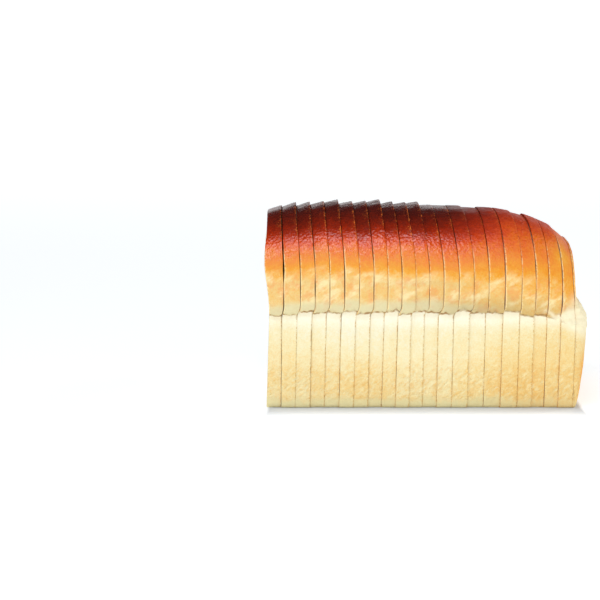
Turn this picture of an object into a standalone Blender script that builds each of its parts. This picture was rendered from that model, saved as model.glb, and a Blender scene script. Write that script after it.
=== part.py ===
"""Sliced tin loaf: 21 standing slices and the end crust, as separate solids.

Metres, +Z up. +X runs along the loaf towards the end crust, the origin is in the
middle of the loaf's footprint, and every slice stands on z = 0.
"""

import math

import bmesh
import bpy

# The whole loaf
SLICE_COUNT = 21
FIRST_CUT_X = -0.1022  # the open cut end
LAST_CUT_X = 0.0916  # the cut between the last slice and the end crust
KERF = 0.0006  # air left between neighbouring cut faces

# Cross-section
BASE_HALF_WIDTH = 0.0505
RIM_HALF_WIDTH = 0.0545  # the tin side flares a little towards its rim
CROWN_HALF_WIDTH = 0.0580  # the crown overhangs the tin side
CROWN_NARROWING = 0.0030  # what the crown loses towards the end crust
CORNER_NARROWING = 0.0060  # and what its round corner takes off at the last cut
BASE_CORNER = 0.0045
LIP_HEIGHT = 0.0634  # underside of the overhang
LIP_DROP = 0.0065  # how far the lip falls at the end crust
WAIST_DEPTH = 0.0008  # pinch under the lip
CROWN_BELLY = 0.0130  # the crown is widest this far above the lip
CREST_HEIGHT = 0.1251
CREST_FALL = 0.0160  # how far the ridge falls to the last cut
DOME_POWER = 2.35  # 2 is an ellipse, more is squarer

# Slicing
THIN_SLICES = (12.0, 3.4, 0.0028)  # cuts crowd towards the open end here: cut, spread, shift
THICK_SLICES = (17.2, 1.7, 0.0022)  # and towards the end crust here
LEAN = 0.0028  # how far a slice's crown is pushed towards the end crust
LEAN_FADE_CUT = 14.5  # the cuts past this one are nearly straight
DISH = 0.0014  # a slice's middle lags behind its sides by this much
CREST_SAW = 0.0020  # each slice's top edge climbs this much along X
SLICE_WANDER = 0.0007  # slices stand slightly out of line

# End of the loaf
END_BULGE = 0.0086  # thickness of the end crust where the tin part stands out most
END_BULGE_HEIGHT = 0.049
END_CROWN = 0.0009  # and at the crown's end
END_BELLY = 0.0022  # what its middle adds to that
END_EDGE = 0.0008
END_ROUNDNESS = 3.2
HEART_HEIGHT = 0.055  # centre of every cut face

CUT_RINGS = (0.5,)
ROUND_RINGS = (0.97, 0.90, 0.78, 0.55)
DOME_STEPS = 8


def bell(value, middle, spread):
    """One at the middle, fading to nothing either side."""
    return math.exp(-(((value - middle) / spread) ** 2))


def ramp(value, start, end):
    """Zero before start, one after end, smooth between."""
    t = min(max((value - start) / (end - start), 0.0), 1.0)
    return t * t * (3.0 - 2.0 * t)


def cut_position(cut):
    """X of a cut at the base; cut 0 is the open end."""
    even = FIRST_CUT_X + cut * (LAST_CUT_X - FIRST_CUT_X) / SLICE_COUNT
    thin, thin_spread, thin_shift = THIN_SLICES
    thick, thick_spread, thick_shift = THICK_SLICES
    return even - thin_shift * bell(cut, thin, thin_spread) + thick_shift * bell(cut, thick, thick_spread)


def last_cut_x(z):
    """The last cut steps back a little above the lip."""
    return LAST_CUT_X - 0.0012 * ramp(z, 0.064, 0.082)


def cut_x(cut, y, z):
    """X of a cut face, which leans out of its plane at the shoulder and sags in the middle."""
    if cut == SLICE_COUNT:
        return last_cut_x(z)
    push = LEAN * (1.0 - 0.8 * ramp(cut, LEAN_FADE_CUT - 2.0, LEAN_FADE_CUT + 2.0))
    below = 0.35 * min(z / LIP_HEIGHT, 1.0) * (1.0 - ramp(cut, 8, 12))
    above = ramp(z, LIP_HEIGHT - 0.004, LIP_HEIGHT + 0.004) - 0.9 * ramp(z, 0.087, CREST_HEIGHT)
    lean = push * (below + (0.65 + 0.35 * ramp(cut, 8, 12)) * above)
    sag = DISH * (1.0 - (y / CROWN_HALF_WIDTH) ** 2)
    if cut == 0:
        lean = 0.0040 * min(z / LIP_HEIGHT, 1.0) * (1.0 - 0.6 * ramp(z, 0.108, CREST_HEIGHT))
        lean -= 0.0064 * bell(z, 0.095, 0.020)
    share = 0.5 if cut == 0 else 1.0 - 0.4 * (cut == 1)
    return cut_position(cut) + share * (lean - sag)


def crest_height(x):
    """Height of the loaf's ridge along its length."""
    open_end = 0.0040 * ramp(-x, 0.061, 0.111)
    slope = 0.0040 * ramp(x, -0.041, 0.049)
    end = CREST_FALL * (max(x - 0.038, 0.0) / (LAST_CUT_X - 0.038)) ** 2
    corner = 0.0032 * ramp(x, 0.084, LAST_CUT_X + 0.004)
    return CREST_HEIGHT - open_end - slope - end - corner


def crown_half_width(x):
    """The crown narrows towards the end crust and rounds off at its corner."""
    corner = (max(x - 0.078, 0.0) / (LAST_CUT_X - 0.078)) ** 2
    return CROWN_HALF_WIDTH - CROWN_NARROWING * ramp(x, 0.043, 0.083) - CORNER_NARROWING * corner


def lip_height(x, number):
    """Height of the overhang's underside; neighbouring slices differ a little."""
    step = 0.0009 * math.sin(2.3 * min(number, SLICE_COUNT) + 0.6)
    first = 0.0020 * bell(number, 1, 0.6)
    return LIP_HEIGHT + step - first - LIP_DROP * ramp(x, 0.049, 0.097)


def arc(centre, radius_y, radius_z, start, end, steps, power=2.0):
    """Points of a superellipse from one angle to another, in degrees."""
    points = []
    for k in range(steps + 1):
        angle = math.radians(start + (end - start) * k / steps)
        c, s = math.cos(angle), math.sin(angle)
        y = centre[0] + radius_y * math.copysign(abs(c) ** (2.0 / power), c)
        z = centre[1] + radius_z * math.copysign(abs(s) ** (2.0 / power), s)
        points.append((y, z))
    return points


def mirrored(half, y_shift=0.0):
    """A closed outline from its +Y half, which runs from the base to the top."""
    other = [(-y, z) for y, z in reversed(half[1:-1])]
    return [(y + y_shift, z) for y, z in half + other]


def base_and_side(rim_z):
    """The flat base, its round corner and the tin side, up to rim_z."""
    corner = (BASE_HALF_WIDTH - BASE_CORNER, BASE_CORNER)
    half = [(0.0, 0.0), (0.5 * corner[0], 0.0)]
    half += arc(corner, BASE_CORNER, BASE_CORNER, -90, 0, 3)
    half.append((RIM_HALF_WIDTH, rim_z))
    return half


def slice_outline(number, x, climb):
    """Outline of a slice's face at x; climb is -1 at its low edge and 1 at its high one."""
    lip = lip_height(x, number)
    belly = lip + CROWN_BELLY
    number = min(number, SLICE_COUNT)  # the end crust fits the last slice
    fade = 1.0 - ramp(number, 10, 14)
    crest = crest_height(x) + 0.5 * climb * CREST_SAW * fade + 0.0006 * math.sin(4.1 * number)
    crown = crown_half_width(x)
    shelf = 0.008 * ramp(x, 0.079, LAST_CUT_X)
    half = base_and_side(lip - 0.005)
    half.append((RIM_HALF_WIDTH - WAIST_DEPTH, lip - 0.0008))
    half.append((crown - 0.0020, lip + 0.0004 + shelf))
    half.append((crown - 0.0005, lip + 0.5 * (CROWN_BELLY + shelf)))
    half += arc((0.0, belly), crown, crest - belly, 0, 90, DOME_STEPS, DOME_POWER)
    return mirrored(half, SLICE_WANDER * math.sin(1.7 * number + 0.4))


def heel_reach(z):
    """Thickness of the end crust at height z, before its edges round off."""
    low = math.sin(0.5 * math.pi * min(z / END_BULGE_HEIGHT, 1.0)) ** 0.7
    tin = END_EDGE + (END_BULGE - END_EDGE) * (0.25 + 0.75 * low)
    return tin + (END_CROWN - END_BULGE) * ramp(z, 0.056, 0.073)


def heel_x(y, z, ring):
    """Outer face of the end crust; ring is 1 at its outline and 0 in the middle."""
    rounding = (1.0 - ring**END_ROUNDNESS) ** (1.0 / END_ROUNDNESS)
    belly = END_BELLY * (1.0 - (y / RIM_HALF_WIDTH) ** 2) * (1.0 - 0.6 * ramp(z, 0.064, 0.082))
    reach = heel_reach(z) - END_EDGE + max(belly, 0.0)
    return last_cut_x(z) + 0.5 * KERF + END_EDGE + reach * rounding


def face_of_rings(bm, outline, rings, x_at):
    """A filled face on an outline, with inner rings; x_at(y, z, ring) shapes it."""
    centre_y = sum(y for y, _ in outline) / len(outline)
    circle = bmesh.ops.create_circle(bm, cap_ends=True, segments=len(outline), radius=1.0)
    rim = circle["verts"]
    face = rim[0].link_faces[0]
    for vert, (y, z) in zip(rim, outline):
        vert.co = (x_at(y, z, 1.0), y, z)
    reached = 1.0
    for ring in rings:
        bmesh.ops.inset_individual(bm, faces=[face], thickness=0.0)
        for vert in face.verts:
            y = centre_y + (vert.co.y - centre_y) * ring / reached
            z = HEART_HEIGHT + (vert.co.z - HEART_HEIGHT) * ring / reached
            vert.co = (x_at(y, z, ring), y, z)
        reached = ring
    heart = bmesh.ops.poke(bm, faces=[face])["verts"][0]
    heart.co = (x_at(centre_y, HEART_HEIGHT, 0.0), centre_y, HEART_HEIGHT)


def closed_solid(name, bm, material):
    """Joins the rims of two faces with a band of crust and makes the object."""
    rims = [edge for edge in bm.edges if edge.is_boundary]
    bmesh.ops.bridge_loops(bm, edges=rims)
    bmesh.ops.recalc_face_normals(bm, faces=bm.faces)
    bmesh.ops.triangulate(bm, faces=bm.faces)
    mesh = bpy.data.meshes.new(name)
    bm.to_mesh(mesh)
    bm.free()
    mesh.materials.append(material)
    mesh.shade_smooth()
    mesh.set_sharp_from_angle(angle=math.radians(35))
    piece = bpy.data.objects.new(name, mesh)
    bpy.context.scene.collection.objects.link(piece)
    return piece


def make_slice(number, material):
    """Slice 1 is the open end; its faces are cuts number - 1 and number."""
    left, right = number - 1, number
    low = slice_outline(number, cut_position(left), -1.0)
    high = slice_outline(number, cut_position(right), 1.0)
    bm = bmesh.new()
    face_of_rings(bm, low, CUT_RINGS, lambda y, z, ring: cut_x(left, y, z) + 0.5 * KERF)
    face_of_rings(bm, high, CUT_RINGS, lambda y, z, ring: cut_x(right, y, z) - 0.5 * KERF)
    return closed_solid(f"slice_{number:02d}", bm, material)


def make_heel(material):
    outline = slice_outline(SLICE_COUNT + 1, LAST_CUT_X, 0.0)
    bm = bmesh.new()
    face_of_rings(bm, outline, CUT_RINGS, lambda y, z, ring: last_cut_x(z) + 0.5 * KERF)
    face_of_rings(bm, outline, ROUND_RINGS, heel_x)
    return closed_solid("heel", bm, material)


def bread_material(name, colour, roughness):
    """A plain baked surface; colour is linear."""
    material = bpy.data.materials.new(name)
    material.use_nodes = True
    shader = material.node_tree.nodes["Principled BSDF"]
    shader.inputs["Base Color"].default_value = (*colour, 1.0)
    shader.inputs["Roughness"].default_value = roughness
    shader.inputs["Metallic"].default_value = 0.0
    material.diffuse_color = (*colour, 1.0)
    return material


def main():
    for piece in list(bpy.data.objects):
        bpy.data.objects.remove(piece, do_unlink=True)
    for number in range(1, SLICE_COUNT + 1):
        crust = bread_material(f"slice_{number:02d}_crust", (0.72, 0.42, 0.16), 0.6)
        make_slice(number, crust)
    make_heel(bread_material("heel_crust", (0.86, 0.60, 0.26), 0.7))


main()
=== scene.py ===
"""The looks of a sliced tin loaf: baked crust, fine crumb and a plain pale studio.

Metres, +Z up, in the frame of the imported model: +X runs along the loaf from the open cut
end towards the end crust, and the loaf stands on z = 0.
"""

import math

import bmesh
import bpy
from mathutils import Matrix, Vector, noise


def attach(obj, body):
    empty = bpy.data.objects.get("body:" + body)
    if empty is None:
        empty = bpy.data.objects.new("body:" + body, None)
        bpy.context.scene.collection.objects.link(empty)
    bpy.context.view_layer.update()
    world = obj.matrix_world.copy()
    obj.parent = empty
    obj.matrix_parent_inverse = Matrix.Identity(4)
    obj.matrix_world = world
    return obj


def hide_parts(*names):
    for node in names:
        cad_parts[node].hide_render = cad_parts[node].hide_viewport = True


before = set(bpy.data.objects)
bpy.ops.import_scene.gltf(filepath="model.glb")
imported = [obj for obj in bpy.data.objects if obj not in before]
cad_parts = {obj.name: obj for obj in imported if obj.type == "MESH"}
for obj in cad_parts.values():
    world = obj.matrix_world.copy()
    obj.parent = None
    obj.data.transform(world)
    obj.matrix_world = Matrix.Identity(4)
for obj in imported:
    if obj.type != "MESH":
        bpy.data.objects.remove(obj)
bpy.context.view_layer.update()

MM = 0.001
FAR_FROM_CUTS = 1.0e9  # rim distance of a point that isn't beside a cut
INDEX_SPAN = 90000  # more than the number of vertices in any piece

# The loaf's driving dimensions, as in the CAD model
SLICE_COUNT = 21
FIRST_CUT_X = -0.1022
FIRST_CUT_LEAN = 0.0040
FIRST_CUT_HOLLOW = 0.0064
LAST_CUT_X = 0.0916
LAST_CUT_SET_BACK = 0.0012
END_SHOULDER = (0.064, 0.082)  # heights between which the end steps in above the tin part
BASE_HALF_WIDTH = 0.0505
RIM_HALF_WIDTH = 0.0545
CROWN_HALF_WIDTH = 0.0580
CROWN_NARROWING = 0.0030
CORNER_NARROWING = 0.0060
CORNER_START = 0.078
BASE_CORNER = 0.0045
LIP_HEIGHT = 0.0634
LIP_DROP = 0.0065
LIP_DROP_SPAN = (0.049, 0.097)
WAIST_DEPTH = 0.0008
CROWN_BELLY = 0.0130
CREST_HEIGHT = 0.1251
CREST_FALL = 0.0160
CREST_FALL_START = 0.038
CREST_CORNER = 0.0032
CREST_SLOPE = 0.0040
OPEN_END_FALL = 0.0040
DOME_POWER = 2.35
THIN_SLICES = (12.0, 3.4, 0.0028)  # cut in the middle of them, spread in cuts, shift
THICK_SLICES = (17.2, 1.7, 0.0022)
LEAN = 0.0028
LEAN_FADE_CUT = 14.5
DISH = 0.0014
CREST_SAW = 0.0020
SLICE_WANDER = 0.0007
END_BULGE = 0.0086
END_BULGE_HEIGHT = 0.049
END_CROWN = 0.0009
END_BELLY = 0.0022
END_EDGE = 0.0008
END_ROUNDNESS = 3.2
HEART_HEIGHT = 0.055
KERF = 0.0006

# How finely the pieces are modelled. Band steps run across a slice from its low cut to its
# high one; rings run inwards over a cut face, from its rim at 1 to its middle at 0.
BASE_STEPS = 26
CORNER_STEPS = 6
TIN_STEPS = 42
LIP_STEPS = 34
DOME_STEPS = 84
BAND_STEPS = (0.0, 0.03, 0.09, 0.2, 0.33, 0.46, 0.59, 0.72, 0.84, 0.93, 0.975, 1.0)
HIDDEN_RINGS = (0.994, 0.985, 0.972, 0.955, 0.93, 0.88, 0.80, 0.68, 0.54, 0.38, 0.2)
OPEN_RINGS = [0.994, 0.986] + [1.0 - 0.0205 * k for k in range(1, 47)]
END_RINGS = [0.994, 0.985, 0.972, 0.955, 0.93, 0.90, 0.86] + [0.82 - 0.036 * k for k in range(22)]


# ---------------------------------------------------------------- shape of the loaf


def bell(value, middle, spread):
    return math.exp(-(((value - middle) / spread) ** 2))


def ramp(value, start, end):
    t = min(max((value - start) / (end - start), 0.0), 1.0)
    return t * t * (3.0 - 2.0 * t)


def cut_position(cut):
    even = FIRST_CUT_X + cut * (LAST_CUT_X - FIRST_CUT_X) / SLICE_COUNT
    thin, thin_spread, thin_shift = THIN_SLICES
    thick, thick_spread, thick_shift = THICK_SLICES
    return even - thin_shift * bell(cut, thin, thin_spread) + thick_shift * bell(cut, thick, thick_spread)


def last_cut_x(z):
    return LAST_CUT_X - LAST_CUT_SET_BACK * ramp(z, *END_SHOULDER)


def cut_x(cut, y, z):
    if cut == SLICE_COUNT:
        return last_cut_x(z)
    push = LEAN * (1.0 - 0.8 * ramp(cut, LEAN_FADE_CUT - 2.0, LEAN_FADE_CUT + 2.0))
    below = 0.35 * min(z / LIP_HEIGHT, 1.0) * (1.0 - ramp(cut, 8, 12))
    above = ramp(z, LIP_HEIGHT - 0.004, LIP_HEIGHT + 0.004) - 0.9 * ramp(z, 0.087, CREST_HEIGHT)
    lean = push * (below + (0.65 + 0.35 * ramp(cut, 8, 12)) * above)
    sag = DISH * (1.0 - (y / CROWN_HALF_WIDTH) ** 2)
    if cut == 0:
        lean = FIRST_CUT_LEAN * min(z / LIP_HEIGHT, 1.0) * (1.0 - 0.6 * ramp(z, 0.108, CREST_HEIGHT))
        lean -= FIRST_CUT_HOLLOW * bell(z, 0.095, 0.020)
    share = 0.5 if cut == 0 else 1.0 - 0.4 * (cut == 1)
    return cut_position(cut) + share * (lean - sag)


def crest_height(x):
    open_end = OPEN_END_FALL * ramp(-x, 0.061, 0.111)
    slope = CREST_SLOPE * ramp(x, -0.041, 0.049)
    end = CREST_FALL * (max(x - CREST_FALL_START, 0.0) / (LAST_CUT_X - CREST_FALL_START)) ** 2
    corner = CREST_CORNER * ramp(x, 0.084, LAST_CUT_X + 0.004)
    return CREST_HEIGHT - open_end - slope - end - corner


def crown_half_width(x):
    corner = (max(x - CORNER_START, 0.0) / (LAST_CUT_X - CORNER_START)) ** 2
    return CROWN_HALF_WIDTH - CROWN_NARROWING * ramp(x, 0.043, 0.083) - CORNER_NARROWING * corner


def lip_height(x, number):
    step = 0.0009 * math.sin(2.3 * min(number, SLICE_COUNT) + 0.6)
    first = 0.0020 * bell(number, 1, 0.6)
    return LIP_HEIGHT + step - first - LIP_DROP * ramp(x, *LIP_DROP_SPAN)


def arc(centre, radius_y, radius_z, start, end, steps, power=2.0):
    points = []
    for k in range(steps + 1):
        angle = math.radians(start + (end - start) * k / steps)
        c, s = math.cos(angle), math.sin(angle)
        y = centre[0] + radius_y * math.copysign(abs(c) ** (2.0 / power), c)
        z = centre[1] + radius_z * math.copysign(abs(s) ** (2.0 / power), s)
        points.append((y, z))
    return points


def even_steps(points, steps):
    """The same path with its points evenly spaced, without the first one."""
    lengths = [math.dist(a, b) for a, b in zip(points, points[1:])]
    total = sum(lengths)
    result, walked, leg = [], 0.0, 0
    for k in range(1, steps + 1):
        target = total * k / steps
        while leg < len(lengths) - 1 and walked + lengths[leg] < target:
            walked += lengths[leg]
            leg += 1
        share = min((target - walked) / lengths[leg], 1.0)
        (y0, z0), (y1, z1) = points[leg], points[leg + 1]
        result.append((y0 + share * (y1 - y0), z0 + share * (z1 - z0)))
    return result


def smooth_path(knots, steps):
    """A soft curve through a few knots."""
    ends = [knots[0]] + knots + [knots[-1]]
    points = []
    for p0, p1, p2, p3 in zip(ends, ends[1:], ends[2:], ends[3:]):
        for k in range(steps):
            t = k / steps
            point = []
            for a, b, c, d in zip(p0, p1, p2, p3):
                curve = 2 * b + (c - a) * t + (2 * a - 5 * b + 4 * c - d) * t**2
                curve += (3 * b - a - 3 * c + d) * t**3
                point.append(0.5 * curve)
            points.append(tuple(point))
    return points + [knots[-1]]


def mirrored(half, y_shift=0.0):
    other = [(-y, z) for y, z in reversed(half[1:-1])]
    return [(y + y_shift, z) for y, z in half + other]


def base_and_side(rim_z):
    corner = (BASE_HALF_WIDTH - BASE_CORNER, BASE_CORNER)
    half = [(0.0, 0.0)] + even_steps([(0.0, 0.0), (corner[0], 0.0)], BASE_STEPS)
    half += even_steps(arc(corner, BASE_CORNER, BASE_CORNER, -90, 0, 24), CORNER_STEPS)
    half += even_steps([half[-1], (RIM_HALF_WIDTH, rim_z)], TIN_STEPS)
    return half


def slice_outline(number, x, climb):
    lip = lip_height(x, number)
    belly = lip + CROWN_BELLY
    number = min(number, SLICE_COUNT)  # the end crust fits the last slice
    fade = 1.0 - ramp(number, 10, 14)
    crest = crest_height(x) + 0.5 * climb * CREST_SAW * fade + 0.0006 * math.sin(4.1 * number)
    crown = crown_half_width(x)
    shelf = 0.008 * ramp(x, 0.079, LAST_CUT_X)
    half = base_and_side(lip - 0.005)
    waist = RIM_HALF_WIDTH - WAIST_DEPTH
    knots = [half[-1], (waist, lip - 0.0012), (waist + 0.0003, lip - 0.0002)]
    knots += [(crown - 0.0020, lip + 0.0002 + shelf), (crown - 0.0010, lip + 0.0022 + shelf)]
    knots += [(crown - 0.0005, lip + 0.5 * (CROWN_BELLY + shelf)), (crown, belly)]
    half += even_steps(smooth_path(knots, 12), LIP_STEPS)
    dome = arc((0.0, belly), crown, crest - belly, 0, 90, 4 * DOME_STEPS, DOME_POWER)
    half += even_steps(dome, DOME_STEPS)
    return mirrored(half, SLICE_WANDER * math.sin(1.7 * number + 0.4))


def heel_reach(z):
    """Thickness of the end crust at height z, before its edges round off."""
    low = math.sin(0.5 * math.pi * min(max(z, 0.0) / END_BULGE_HEIGHT, 1.0)) ** 0.7
    tin = END_EDGE + (END_BULGE - END_EDGE) * (0.25 + 0.75 * low)
    return tin + (END_CROWN - END_BULGE) * ramp(z, 0.056, 0.073)


def heel_x(y, z, ring):
    """Outer face of the end crust; ring is 1 at its outline and 0 in the middle."""
    rounding = (1.0 - ring**END_ROUNDNESS) ** (1.0 / END_ROUNDNESS)
    belly = END_BELLY * (1.0 - (y / RIM_HALF_WIDTH) ** 2) * (1.0 - 0.6 * ramp(z, *END_SHOULDER))
    reach = heel_reach(z) - END_EDGE + max(belly, 0.0)
    return last_cut_x(z) + 0.5 * KERF + END_EDGE + reach * rounding


# ---------------------------------------------------------------- how it baked, and a painted highlight


def crown_tone(x, y, z, number, lip):
    """Browning that grows from the lip to the crest; milder towards the end crust, with a painted
    highlight at the crown's corner by it.
    """
    t = min((z - lip) / (crest_height(x) - lip), 1.0)
    t += 0.030 * noise.noise(Vector((x * 45.0 + 7.0, y * 25.0, z * 25.0)))
    t += 0.012 * math.sin(2.9 * number)
    low = 0.18 + 0.10 * ramp(t, 0.02, 0.20) - 0.04 * ramp(t, 0.22, 0.34)
    warmer = (0.010 + 0.035 * ramp(x, -0.045, 0.0)) * bell(t, 0.47, 0.13)
    strong = max(low, 1.04 * t - 0.085 + 0.07 * ramp(t, 0.66, 0.86) + warmer)
    mild = 0.27 + 0.46 * max(t, 0.0) ** 1.35
    share = ramp(x, -0.004, 0.066)
    corner = 0.06 * ramp(x, 0.066, 0.092) * ramp(t, 0.45, 0.9)
    # painted highlight: a paler patch high on the crown's corner by the end crust, where a glossy
    # highlight falls
    corner += 0.13 * bell(x, 0.083, 0.006) * bell(t, 0.77, 0.12)
    corner += 0.05 * ramp(-x, 0.085, 0.105) * ramp(t, 0.5, 0.8) + 0.08 * (number > SLICE_COUNT)
    return strong + (mild - strong) * share - corner


def tin_tone(x, z, number):
    """Light browning inside the tin: a little near the base and the ends, more on the end crust."""
    sides = ramp(x, 0.004, 0.080) + 0.4 * ramp(-x, 0.056, 0.104)
    warm = 0.07 * (1.0 - ramp(z, 0.038, 0.062)) + 0.09 * (1.0 - ramp(z, 0.014, 0.044))
    warm += sides * 0.09 + 0.012 * math.sin(3.7 * number)
    rim = 0.0
    if number > SLICE_COUNT:
        rim = 0.21 * ramp(x, LAST_CUT_X + 0.0010, LAST_CUT_X + 0.0075)
        rim *= 1.0 - 0.9 * ramp(z, 0.014, 0.052)
    return 0.02 + warm + rim


def bake_tone(x, y, z, number):
    """How brown the crust is: 0 is pale, 1 is the darkest brown of the crown; it also holds a painted
    highlight.
    """
    lip = lip_height(x, number)
    drift = noise.noise(Vector((x * 22.0, y * 30.0, z * 30.0)))
    if z > lip - 0.0003:
        return min(max(crown_tone(x, y, z, number, lip) + 0.03 * drift, 0.0), 1.0)
    return max(tin_tone(x, z, number) + 0.05 * drift, 0.0)


def torn_crumb(x, y, z):
    """Where the rising dough tore open between the tin and the crown, near the end crust."""
    ragged = 0.003 * noise.noise(Vector((x * 120.0, 0.0, z * 120.0)))
    lip = LIP_HEIGHT - LIP_DROP * ramp(x, *LIP_DROP_SPAN)
    reach = 0.0015 + 0.0100 * ramp(x, 0.078, 0.098) * (0.25 + 0.75 * ramp(abs(y), 0.018, 0.046))
    return min(1.3 * ramp(x, 0.066, 0.086) * bell(z + ragged, lip + 0.0015, reach), 1.0)


def crust_relief(p):
    """How far the crust stands out or in from its even shape."""
    lumps = 0.34 * noise.noise(p * 55.0) + 0.17 * noise.noise(p * 150.0)
    slant = noise.noise(Vector((p.x * 120.0 + p.z * 150.0, p.y * 60.0, p.z * 240.0 - p.x * 60.0)))
    folds = 0.28 * slant * bell(p.z, 0.075, 0.010) + 0.20 * slant * bell(p.z, 0.018, 0.012)
    tears = 0.9 * torn_crumb(p.x, p.y, p.z) * noise.noise(p * 420.0)
    return MM * (lumps + folds + tears)


def crumb_relief(p, open_face):
    """Uneven crumb on a cut face, with round pores where the face shows."""
    soft = 0.10 * noise.noise(p * 260.0) + 0.12 * noise.noise(p * 90.0)
    if not open_face:
        return 0.4 * MM * soft
    pores = 0.0
    for scale, size, depth in ((300.0, 0.42, 0.55), (620.0, 0.40, 0.30)):
        near, cells = noise.voronoi(p * scale)
        wanted = noise.noise(cells[0] * 3.7) > 0.05
        if wanted and near[0] < size:
            pores += depth * (1.0 - (near[0] / size) ** 2)
    return MM * (soft - pores)


def half_gap(cut, z):
    """Half the space at a cut: open and uneven in the crown, nearly closed lower down."""
    wobble = noise.noise(Vector((cut * 7.3, z * 95.0, 0.0)))
    wide = 0.34 if cut == 1 else 0.19 + 0.06 * math.sin(2.9 * cut) - 0.07 * bell(cut, 10, 4)
    crown = max(wide * (1.0 + 1.1 * wobble), 0.05)
    depth = 0.10 + 0.90 * (cut % 2)
    tin = 0.030 + 0.070 * depth * (0.25 + 0.75 * abs(cut - 10) / 11.0) * (1.0 + 1.9 * wobble)
    tin = max(tin, 0.015)
    return MM * (tin + (crown - tin) * ramp(z, LIP_HEIGHT - 0.006, LIP_HEIGHT + 0.002))


# ---------------------------------------------------------------- building a piece


class Layers:
    """Values kept on the points of a piece, which its materials read."""

    def __init__(self, bm):
        self.tone = bm.verts.layers.float.new("tone")
        self.crown = bm.verts.layers.float.new("crown")
        self.torn = bm.verts.layers.float.new("torn")
        self.low_rim = bm.verts.layers.float.new("low_rim")
        self.high_rim = bm.verts.layers.float.new("high_rim")
        self.depth = bm.verts.layers.float.new("depth")


def mark_crust(vert, layers, x, y, z, number, low_rim=FAR_FROM_CUTS, high_rim=FAR_FROM_CUTS):
    vert[layers.tone] = bake_tone(x, y, z, number)
    vert[layers.crown] = ramp(z, lip_height(x, number) - 0.0017, lip_height(x, number) + 0.0004)
    vert[layers.torn] = torn_crumb(x, y, z)
    vert[layers.low_rim], vert[layers.high_rim] = low_rim, high_rim
    vert[layers.depth] = 0.0


def outline_normals(outline):
    """Directions pointing out of an outline, in the section's plane."""
    count = len(outline)
    result = []
    for k in range(count):
        (y0, z0), (y1, z1) = outline[k - 1], outline[(k + 1) % count]
        length = math.dist((y0, z0), (y1, z1))
        result.append(((z1 - z0) / length, -(y1 - y0) / length))
    return result


def place_on_crust(vert, layers, number, low, high, across, x_low, x_high, k, normals):
    """Puts one point of the crust band in place; across runs from the low cut to the high one."""
    (y0, z0), (y1, z1) = low[k], high[k]
    y, z = y0 + across * (y1 - y0), z0 + across * (z1 - z0)
    x0, x1 = x_low(y, z), x_high(y, z)
    x = x0 + across * (x1 - x0)
    mark_crust(vert, layers, x, y, z, number, x - x0, x1 - x)
    out = crust_relief(Vector((x, y, z)))
    crown = vert[layers.crown]
    chips = max(noise.noise(Vector((x * 90.0, y * 500.0, z * 500.0 + number))), 0.0)
    ragged = 0.02 + 0.11 * crown + (0.06 + 0.16 * crown) * chips
    out -= MM * ragged * (1.0 - ramp(min(x - x0, x1 - x), 0.0, (0.35 + 0.45 * crown) * MM))
    frayed = 1.9 * noise.noise(Vector((x * 120.0, number * 3.0, 0.0)))
    frayed += 1.4 * noise.noise(Vector((x * 450.0, 5.0, 0.0)))
    flat = ramp(z, 0.0, 0.003)
    ny, nz = normals[k]
    z += MM * frayed * bell(z, lip_height(x, number) + 0.0004, 0.0022)
    y, z = y + ny * out * max(flat, abs(ny)), max(z + nz * out * flat, 0.0)
    vert.co = (x, y, z)


def crust_band(bm, layers, face, number, low, high, x_low, x_high):
    """Extrudes the low cut face across the slice, band by band. Returns both end faces."""
    normals = outline_normals(low)
    ends = []
    for index, across in enumerate(BAND_STEPS):
        if index:
            made = bmesh.ops.extrude_face_region(bm, geom=[face], use_keep_orig=True)["geom"]
            ends.append(face)
            face = [part for part in made if isinstance(part, bmesh.types.BMFace)][0]
        for k, vert in enumerate(face.verts):
            place_on_crust(vert, layers, number, low, high, across, x_low, x_high, k, normals)
    bmesh.ops.delete(bm, geom=ends[1:], context="FACES_ONLY")
    return ends[0], face


def cut_face(bm, layers, face, rings, number, x_at, side, open_face=False, baked=False):
    """Insets a face ring by ring to its middle. side is -1 for a low cut and 1 for a high one."""
    rim = [(vert.co.y, vert.co.z, vert[layers.tone]) for vert in face.verts]
    centre_y = sum(y for y, _, _ in rim) / len(rim)
    options = (number, x_at, side, open_face, baked)
    for ring in rings:
        bmesh.ops.inset_individual(bm, faces=[face], thickness=0.0)
        for (rim_y, rim_z, tone), vert in zip(rim, face.verts):
            y = centre_y + (rim_y - centre_y) * ring
            z = HEART_HEIGHT + (rim_z - HEART_HEIGHT) * ring
            inside = (1.0 - ring) * math.dist((rim_y, rim_z), (centre_y, HEART_HEIGHT))
            place_on_cut(vert, layers, y, z, ring, tone, inside, *options)
    heart = bmesh.ops.poke(bm, faces=[face])["verts"][0]
    tone = sum(tone for _, _, tone in rim) / len(rim)
    place_on_cut(heart, layers, centre_y, HEART_HEIGHT, 0.0, tone, HEART_HEIGHT, *options)


def place_on_cut(vert, layers, y, z, ring, tone, inside, number, x_at, side, open_face, baked):
    x = x_at(y, z, ring)
    point = Vector((x, y, z))
    if baked:
        mark_crust(vert, layers, x, y, z, number)
        x += crust_relief(point)
    else:
        x += side * crumb_relief(point, open_face)
        vert[layers.tone], vert[layers.depth] = tone, inside
    vert.co = (x, y, z)


def new_outline_face(bm, count):
    made = bmesh.ops.create_circle(bm, cap_ends=True, segments=count, radius=1.0)
    return made["verts"][0].link_faces[0]


def face_order(face):
    """A number that fixes a face's place in the mesh, so that each run lists the faces alike."""
    first, second, *_, last = sorted(vert.index for vert in face.verts)
    return (INDEX_SPAN * first + second) * INDEX_SPAN + last


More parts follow.
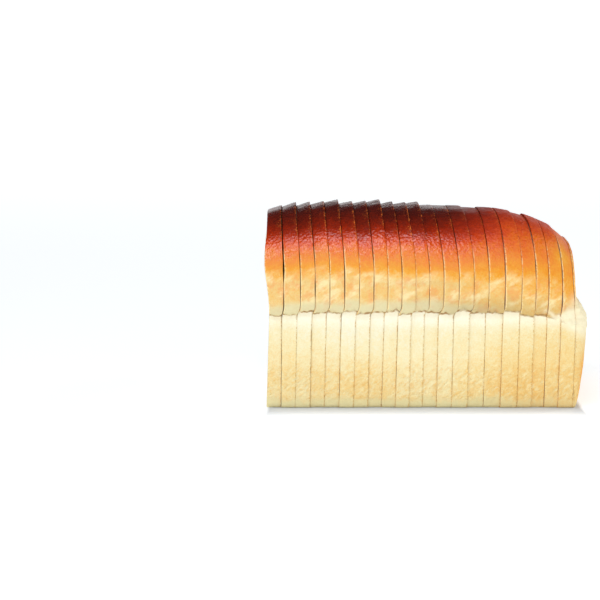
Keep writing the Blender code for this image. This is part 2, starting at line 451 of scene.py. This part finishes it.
def finish_piece(name, bm, node):
    """Makes the object, gives its faces crust or crumb, hangs it on the root body and hides the CAD part
    it stands for.
    """
    bmesh.ops.recalc_face_normals(bm, faces=bm.faces)
    bm.verts.index_update()
    bm.faces.sort(key=face_order)
    depth = bm.verts.layers.float["depth"]
    for face in bm.faces:
        face.smooth = True
        face.material_index = 1 if sum(vert[depth] for vert in face.verts) > 0.0 else 0
    mesh = bpy.data.meshes.new(name)
    bm.to_mesh(mesh)
    bm.free()
    mesh.materials.append(materials["crust"])
    mesh.materials.append(materials["crumb"])
    piece = bpy.data.objects.new(name, mesh)
    bpy.context.scene.collection.objects.link(piece)
    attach(piece, "root")
    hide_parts(node)


def make_slice(number):
    left, right = number - 1, number
    low = slice_outline(number, cut_position(left), -1.0)
    high = slice_outline(number, cut_position(right), 1.0)

    def x_low(y, z, ring=1.0):
        return cut_x(left, y, z) + half_gap(left, z)

    def x_high(y, z, ring=1.0):
        return cut_x(right, y, z) - half_gap(right, z)

    bm = bmesh.new()
    layers = Layers(bm)
    near = new_outline_face(bm, len(low))
    near, far = crust_band(bm, layers, near, number, low, high, x_low, x_high)
    shown = number == 1
    cut_face(bm, layers, near, OPEN_RINGS if shown else HIDDEN_RINGS, number, x_low, -1.0, open_face=shown)
    cut_face(bm, layers, far, HIDDEN_RINGS, number, x_high, 1.0)
    finish_piece(f"bread_slice_{number:02d}", bm, f"slice_{number:02d}")


def make_heel():
    number = SLICE_COUNT + 1
    outline = slice_outline(number, LAST_CUT_X, 0.0)

    def x_low(y, z, ring=1.0):
        return last_cut_x(z) + half_gap(SLICE_COUNT, z)

    def x_edge(y, z):
        return heel_x(y, z, 1.0)

    bm = bmesh.new()
    layers = Layers(bm)
    near = new_outline_face(bm, len(outline))
    near, far = crust_band(bm, layers, near, number, outline, outline, x_low, x_edge)
    cut_face(bm, layers, near, HIDDEN_RINGS, number, x_low, -1.0)
    cut_face(bm, layers, far, END_RINGS, number, heel_x, 1.0, baked=True)
    finish_piece("end_crust", bm, "heel")


# ---------------------------------------------------------------- materials


def linear(code):
    """A web colour as linear red, green and blue."""
    values = [int(code[k : k + 2], 16) / 255.0 for k in (1, 3, 5)]
    return tuple(v / 12.92 if v <= 0.04045 else ((v + 0.055) / 1.055) ** 2.4 for v in values)


BROWNING = (
    (0.00, "#f1ebce"),
    (0.10, "#f0e2b2"),
    (0.20, "#eed290"),
    (0.28, "#ecc478"),
    (0.36, "#eeb252"),
    (0.42, "#ec9e20"),
    (0.50, "#e98709"),
    (0.58, "#e76e04"),
    (0.66, "#da4a05"),
    (0.74, "#bc3204"),
    (0.83, "#962205"),
    (0.92, "#701a08"),
    (1.00, "#501008"),
)


RANGE_INPUTS = ("From Min", "From Max", "To Min", "To Max")


class Nodes:
    """Short ways to add shader nodes to one material."""

    def __init__(self, name):
        self.material = bpy.data.materials.new(name)
        self.material.use_nodes = True
        self.tree = self.material.node_tree
        self.shader = self.tree.nodes["Principled BSDF"]
        self.place = self.add("ShaderNodeTexCoord").outputs["Object"]
        split = self.add("ShaderNodeSeparateXYZ")
        self.link(self.place, split.inputs[0])
        self.along, self.across, self.height = split.outputs

    def add(self, kind, **values):
        node = self.tree.nodes.new(kind)
        for key, value in values.items():
            setattr(node, key, value)
        return node

    def link(self, source, target):
        if isinstance(source, (int, float, tuple)):
            target.default_value = source
        else:
            self.tree.links.new(source, target)

    def attribute(self, name):
        return self.add("ShaderNodeAttribute", attribute_name=name).outputs["Fac"]

    def math(self, operation, a, b=0.0, clamp=False):
        node = self.add("ShaderNodeMath", operation=operation, use_clamp=clamp)
        self.link(a, node.inputs[0])
        self.link(b, node.inputs[1])
        return node.outputs[0]

    def noise(self, scale, detail=3.0, roughness=0.5, stretch=(1.0, 1.0, 1.0), turn=(0.0, 0.0, 0.0)):
        mapping = self.add("ShaderNodeMapping", vector_type="TEXTURE")
        self.link(self.place, mapping.inputs["Vector"])
        mapping.inputs["Scale"].default_value = stretch
        mapping.inputs["Rotation"].default_value = turn
        node = self.add("ShaderNodeTexNoise")
        self.link(mapping.outputs[0], node.inputs["Vector"])
        node.inputs["Scale"].default_value = scale
        node.inputs["Detail"].default_value = detail
        node.inputs["Roughness"].default_value = roughness
        return node.outputs["Fac"]

    def cells(self, scale, feature="F1"):
        node = self.add("ShaderNodeTexVoronoi", feature=feature)
        self.link(self.place, node.inputs["Vector"])
        node.inputs["Scale"].default_value = scale
        return node.outputs["Distance"]

    def product(self, *values):
        result = values[0]
        for value in values[1:]:
            result = self.math("MULTIPLY", result, value)
        return result

    def spread(self, value, low, high, to_low=0.0, to_high=1.0):
        node = self.add("ShaderNodeMapRange", interpolation_type="SMOOTHSTEP")
        self.link(value, node.inputs["Value"])
        for name, number in zip(RANGE_INPUTS, (low, high, to_low, to_high)):
            node.inputs[name].default_value = number
        return node.outputs["Result"]

    def sway(self, value, amount):
        """A noise value as a small push either way."""
        return self.math("MULTIPLY", self.math("SUBTRACT", value, 0.5), amount)

    def colours(self, value, stops):
        node = self.add("ShaderNodeValToRGB")
        stop_list = node.color_ramp.elements
        while len(stop_list) < len(stops):
            stop_list.new(0.5)
        for element, (place, code) in zip(stop_list, stops):
            element.position = place
            element.color = (*linear(code), 1.0)
        self.link(value, node.inputs["Fac"])
        return node.outputs["Color"]

    def mix(self, share, a, b, blend="MIX"):
        node = self.add("ShaderNodeMix", data_type="RGBA", blend_type=blend)
        self.link(share, node.inputs["Factor"])
        for socket, value in ((node.inputs["A"], a), (node.inputs["B"], b)):
            self.link((*linear(value), 1.0) if isinstance(value, str) else value, socket)
        return node.outputs["Result"]

    def bump(self, height, distance, strength=1.0, under=None):
        node = self.add("ShaderNodeBump")
        self.link(height, node.inputs["Height"])
        node.inputs["Distance"].default_value = distance
        node.inputs["Strength"].default_value = strength
        if under is not None:
            self.link(under, node.inputs["Normal"])
        return node.outputs["Normal"]

    def finish(self, colour, roughness, normal, specular=0.5):
        self.link(colour, self.shader.inputs["Base Color"])
        self.link(roughness, self.shader.inputs["Roughness"])
        self.link(normal, self.shader.inputs["Normal"])
        self.shader.inputs["Specular IOR Level"].default_value = specular
        return self.material


def browned(n, tone):
    """Browning colours on a tone value that noise makes uneven."""
    cloudy = n.noise(70.0, 4.0, 0.55)
    mottled = n.noise(330.0, 5.0, 0.65)
    specks = n.noise(1100.0, 3.0, 0.6)
    value = n.math("ADD", tone, n.sway(cloudy, 0.10))
    value = n.math("ADD", value, n.sway(mottled, 0.17))
    value = n.math("ADD", value, n.sway(specks, 0.22), clamp=True)
    return n.colours(value, BROWNING)


def tin_side_colours(n, colour, on_tin, tin_band, ripple):
    """Straw and cream ripples where the tin held the loaf, paler at its foot, with painted light under the
    lip.
    """
    colour = n.mix(n.product(n.spread(ripple, 0.50, 0.68), tin_band, 0.45), colour, "#ecb860")
    colour = n.mix(n.product(n.spread(ripple, 0.48, 0.34), tin_band, 0.45), colour, "#f6eab8")
    patchy = n.math("ADD", n.height, n.sway(n.noise(110.0, 4.0, 0.6), 0.014))
    foot = n.product(n.spread(patchy, 0.0090, 0.0040), n.spread(n.along, 0.085, 0.030, 0.25, 0.75))
    colour = n.mix(n.product(foot, on_tin), colour, "#e4daa6")
    # painted light: near-white cream just under the lip, brightening the shadow the crown's lip casts
    # there
    under_lip_painted_light = n.product(n.spread(n.height, 0.050, 0.060), on_tin, 0.6)
    return n.mix(under_lip_painted_light, colour, "#fffae4")


def lower_crown_colours(n, colour, tone, crown):
    """Blushes, slanting pale streaks, a pale foot, a darker crease under the lip that is partly painted
    shade, and painted shade low on the crown.
    """
    lower_crown = n.product(crown, n.spread(tone, 0.46, 0.34))
    blush = n.spread(n.noise(150.0, 5.0, 0.62), 0.48, 0.64)
    colour = n.mix(n.product(blush, lower_crown, 0.65), colour, "#eea45a")
    slanting = n.noise(150.0, 5.0, 0.62, (2.0, 1.0, 1.0), (0.0, -0.55, 0.0))
    streak = n.spread(slanting, 0.46, 0.70)
    colour = n.mix(n.product(streak, lower_crown, 0.80), colour, "#fae8b0")
    pale_foot = n.product(n.spread(tone, 0.27, 0.20), crown)
    colour = n.mix(n.product(pale_foot, 0.75), colour, "#ded6aa")
    # darker ochre line at the lip's underside: partly the browner break line of the crust, partly painted
    # shade under the lip's overhang
    crease_and_lip_shade = n.product(n.spread(crown, 0.02, 0.20), n.spread(crown, 0.98, 0.70))
    colour = n.mix(n.product(crease_and_lip_shade, n.spread(n.noise(300.0, 3.0), 0.30, 0.60), 0.85), colour, "#a8783a")
    # painted shade: the lower crown, which faces slightly down, is darkened, more so towards the end crust
    shaded = n.product(lower_crown, n.spread(tone, 0.34, 0.22), n.spread(n.along, -0.03, 0.06, 0.06, 0.46))
    return n.mix(shaded, colour, "#8f7038")


def cut_edge_colours(n, colour, tone, crown, on_tin):
    """Crumb that shows in flecks where the knife chipped the crust's edges, and an ochre line along the
    cuts on the tin side, partly browner edge and partly painted shade.
    """
    low_rim, high_rim = n.attribute("low_rim"), n.attribute("high_rim")
    flecks = n.math("ADD", n.noise(900.0, 4.0, 0.7), n.sway(n.noise(130.0), 0.45))
    low_edge = n.product(n.spread(low_rim, 0.0009, 0.0003), n.spread(flecks, 0.42, 0.54))
    high_edge = n.product(n.spread(high_rim, 0.0012, 0.0002), n.spread(flecks, 0.50, 0.64))
    nearby = n.product(n.spread(high_rim, 0.0045, 0.0004), n.spread(flecks, 0.60, 0.70))
    on_pale = n.product(low_edge, crown, n.spread(tone, 0.64, 0.50))
    on_dark = n.product(n.math("MAXIMUM", high_edge, nearby), n.spread(tone, 0.56, 0.70))
    # ochre line along the high edge of each cut on the tin side: partly browner crust edge, partly painted
    # shade of the narrow cut
    tin_edge_and_cut_shade = n.product(n.spread(high_rim, 0.0008, 0.0002), on_tin, n.spread(flecks, 0.45, 0.60))
    colour = n.mix(n.product(on_pale, 0.8), colour, "#fae2a6")
    colour = n.mix(n.product(on_dark, 0.9), colour, "#ea7a34")
    return n.mix(n.product(tin_edge_and_cut_shade, 0.75), colour, "#cf9f4c")


def crust_material():
    """Outside of the loaf: matte and pale where the tin held it, glossy and brown on the crown."""
    n = Nodes("baked_crust")
    tone, crown, torn = n.attribute("tone"), n.attribute("crown"), n.attribute("torn")
    on_tin = n.spread(crown, 0.5, 0.0)
    ripple = n.noise(520.0, 3.0, 0.6, (2.2, 1.0, 1.0), (0.0, -0.65, 0.0))
    tin_band = n.product(n.spread(n.height, 0.003, 0.009), n.spread(n.height, 0.038, 0.020), on_tin)
    tin_band = n.product(tin_band, n.spread(tone, 0.40, 0.26, 0.15, 1.0))

    colour = tin_side_colours(n, browned(n, tone), on_tin, tin_band, ripple)
    colour = lower_crown_colours(n, colour, tone, crown)
    colour = cut_edge_colours(n, colour, tone, crown, on_tin)
    colour = n.mix(n.product(torn, n.spread(n.noise(260.0, 4.0), 0.10, 0.30)), colour, "#f8eecb")

    worn = n.spread(n.along, 0.000, 0.050, 0.0, 0.22)
    uneven = n.sway(n.noise(340.0, 3.0), 0.30)
    roughness = n.spread(tone, 0.38, 0.54, 0.85, 0.25)
    roughness = n.math("ADD", roughness, n.math("ADD", worn, uneven), clamp=True)

    soften = n.product(n.spread(tone, 0.40, 0.58, 1.0, 0.80), n.spread(tone, 0.80, 0.92, 1.0, 0.45))
    skin = n.bump(n.product(n.noise(620.0, 5.0, 0.6), soften), 0.00035)
    gloss = n.product(n.spread(tone, 0.45, 0.62, 0.2, 1.0), n.spread(tone, 0.76, 0.88, 1.0, 0.25))
    wrinkles = n.bump(n.product(n.cells(520.0), gloss), 0.00032, under=skin)
    normal = n.bump(n.product(ripple, tin_band), 0.0012, under=wrinkles)
    return n.finish(colour, roughness, normal, specular=0.65)


def crumb_material():
    """Cut faces: a thin browned rim, then fine white crumb with painted shade in its pores."""
    n = Nodes("cut_crumb")
    tone = n.attribute("tone")
    depth = n.math("ADD", n.attribute("depth"), n.sway(n.noise(420.0, 3.0), 0.0012))
    crust = browned(n, n.math("ADD", n.product(tone, 0.80), 0.20))
    shade = n.spread(n.noise(90.0, 3.0), 0.35, 0.65)
    crumb = n.mix(shade, "#fffaea", "#fbf0d2")
    # painted shade: tan specks on the crumb where its pores hold shade
    pore_shade = n.spread(n.noise(700.0, 4.0, 0.65), 0.42, 0.30)
    crumb = n.mix(n.product(pore_shade, 0.5), crumb, "#eed9a8")
    thickness = n.spread(tone, 0.45, 0.85, 0.0009, 0.0030)
    inside = n.spread(n.math("DIVIDE", depth, thickness), 0.35, 1.25)
    colour = n.mix(inside, crust, crumb)
    open_cells = n.bump(n.noise(800.0, 5.0, 0.7), 0.0006)
    normal = n.bump(n.cells(650.0), 0.0003, under=open_cells)
    return n.finish(colour, 0.9, normal, specular=0.25)


# ---------------------------------------------------------------- studio

LOOK_AT = Vector((-0.0812, -0.052, 0.0702))
CAMERA_DISTANCE = 1.12
CAMERA_ELEVATION = math.radians(10.0)
CAMERA_LENS = 107.3
CAMERA_SENSOR = 36.0
FLOOR_HALF_SIDE = 60.0
WORLD_HIGH, WORLD_LOW = 1.2, 0.03


def floor_material():
    """Pale floor that glows of itself, more strongly far away; its glow is weaker in a strip beside the
    loaf, a painted soft shadow that the real one darkens further.
    """
    n = Nodes("pale_floor")
    n.shader.inputs["Base Color"].default_value = (*linear("#ccd0d6"), 1.0)
    n.shader.inputs["Roughness"].default_value = 1.0
    n.shader.inputs["Specular IOR Level"].default_value = 0.0
    n.shader.inputs["Emission Color"].default_value = (0.96, 0.99, 1.0, 1.0)
    # painted shadow: the floor's glow dips in a strip beside the loaf and fades out past its ends
    past_end = n.spread(n.math("ABSOLUTE", n.math("ADD", n.along, 0.002)), 0.088, 0.106, 0.0, 0.09)
    away = n.math("MAXIMUM", n.math("ABSOLUTE", n.across), past_end)
    glow_with_painted_shadow = n.math("ADD", n.spread(away, 0.050, 0.076, 0.12, 0.66), n.spread(away, 0.10, 2.5, 0.0, 0.37))
    n.link(glow_with_painted_shadow, n.shader.inputs["Emission Strength"])
    return n.material


def make_floor():
    bm = bmesh.new()
    bmesh.ops.create_grid(bm, x_segments=1, y_segments=1, size=FLOOR_HALF_SIDE)
    mesh = bpy.data.meshes.new("studio_floor")
    bm.to_mesh(mesh)
    bm.free()
    mesh.materials.append(floor_material())
    floor = bpy.data.objects.new("studio_floor", mesh)
    bpy.context.scene.collection.objects.link(floor)


def soft_light(name, place, aim, size, power, tint=(1.0, 1.0, 1.0)):
    data = bpy.data.lights.new(name, "AREA")
    data.shape = "RECTANGLE"
    data.size, data.size_y = size
    data.energy = power
    data.color = tint
    lamp = bpy.data.objects.new(name, data)
    lamp.location = place
    lamp.rotation_euler = (Vector(aim) - Vector(place)).to_track_quat("-Z", "Y").to_euler()
    bpy.context.scene.collection.objects.link(lamp)


def make_room():
    """White light from all round, low down, reaching higher in front; a dark ceiling."""
    world = bpy.data.worlds.new("pale_room")
    world.use_nodes = True
    nodes, links = world.node_tree.nodes, world.node_tree.links
    split = nodes.new("ShaderNodeSeparateXYZ")
    links.new(nodes.new("ShaderNodeTexCoord").outputs["Generated"], split.inputs[0])
    tilt = nodes.new("ShaderNodeMath")
    tilt.operation = "MULTIPLY_ADD"
    tilt.inputs[1].default_value = 0.3
    links.new(split.outputs["Y"], tilt.inputs[0])
    links.new(split.outputs["Z"], tilt.inputs[2])
    fall = nodes.new("ShaderNodeMapRange")
    fall.interpolation_type = "SMOOTHSTEP"
    for name, number in zip(RANGE_INPUTS, (0.40, 0.55, WORLD_HIGH, WORLD_LOW)):
        fall.inputs[name].default_value = number
    links.new(tilt.outputs[0], fall.inputs["Value"])
    links.new(fall.outputs["Result"], nodes["Background"].inputs["Strength"])
    nodes["Background"].inputs["Color"].default_value = (1.0, 1.0, 1.0, 1.0)
    bpy.context.scene.world = world


def make_studio():
    scene = bpy.context.scene
    scene.view_settings.view_transform = "Standard"
    make_room()
    make_floor()
    crown, end, middle = (-0.185, -0.045, 0.105), (0.085, -0.04, 0.09), (-0.05, 0.0, 0.08)
    cool, warm = (0.90, 0.93, 1.0), (1.0, 0.88, 0.72)
    soft_light("overhead_softbox", (-0.215, -0.465, 1.010), crown, (0.50, 0.32), 3.9, cool)
    soft_light("end_softbox", (0.80, 0.18, 0.75), end, (0.30, 0.30), 1.9, warm)
    soft_light("front_fill", (-0.08, -1.60, 1.30), middle, (1.40, 0.80), 1.5)

    data = bpy.data.cameras.new("camera")
    data.lens = CAMERA_LENS
    data.sensor_width = CAMERA_SENSOR
    camera = bpy.data.objects.new("camera", data)
    back = Vector((0.0, -math.cos(CAMERA_ELEVATION), math.sin(CAMERA_ELEVATION)))
    camera.location = LOOK_AT + back * CAMERA_DISTANCE
    camera.rotation_euler = (-back).to_track_quat("-Z", "Y").to_euler()
    scene.collection.objects.link(camera)
    scene.camera = camera


materials = {"crust": crust_material(), "crumb": crumb_material()}
for slice_number in range(1, SLICE_COUNT + 1):
    make_slice(slice_number)
make_heel()
make_studio()
